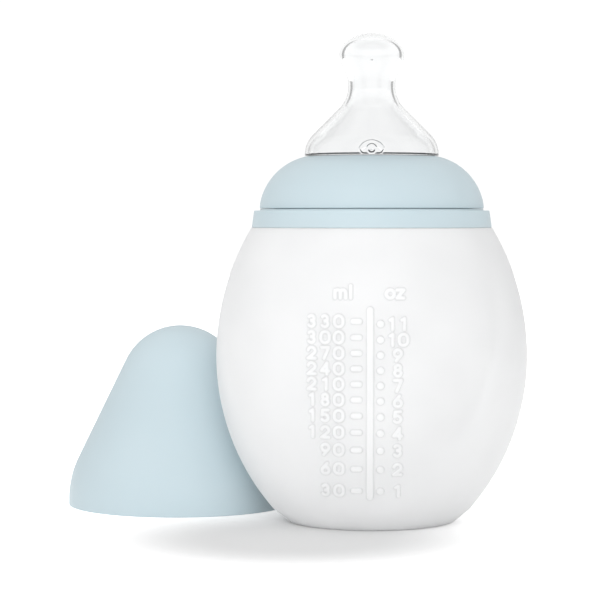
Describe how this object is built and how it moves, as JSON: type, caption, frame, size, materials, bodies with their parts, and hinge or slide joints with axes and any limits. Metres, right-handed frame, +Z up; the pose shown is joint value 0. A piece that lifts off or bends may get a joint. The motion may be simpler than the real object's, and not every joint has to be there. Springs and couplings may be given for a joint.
{
  "type": "baby bottle",
  "caption": "Wide egg-shaped soft feeding bottle with a screw collar, a soft teat and a separate rounded cap.",
  "frame": {"origin": "centre of the bottle's flat base, on the surface that it stands on", "axes": "+Z up along the bottle's axis, -Y towards the graduation, +X to the right when the graduation is read"},
  "size_m": [0.1473, 0.1233, 0.1509],
  "materials": {
    "frosted_silicone": "frosted milky translucent silicone, satin",
    "blue_plastic": "satin-matte moulded polypropylene, pale powder blue",
    "clear_silicone": "clear glossy silicone"
  },
  "bodies": {
    "bottle": {"bottle_body": "frosted_silicone", "neck_ring": "blue_plastic"},
    "teat": {"teat": "clear_silicone"},
    "collar": {"collar": "blue_plastic"},
    "cap": {"cap": "blue_plastic"}
  },
  "joints": [
    {"name": "teat_rise", "type": "slide", "parent": "bottle", "child": "teat", "axis": [0, 0, 1], "range_m": [0, 0.00401]},
    {"name": "collar_turn", "type": "hinge", "parent": "teat", "child": "collar", "pos_m": [0, 0, 0.1], "axis": [0, 0, 1], "range_deg": [0, 450]},
    {"name": "cap_lift", "type": "slide", "parent": "bottle", "child": "cap", "axis": [-0.4267, 0.2606, 0.866], "range_m": [0, 0.16]}
  ],
  "couplings": [
    {"joint": "teat_rise", "follows": "collar_turn", "m_per_rad": 0.0005093}
  ]
}
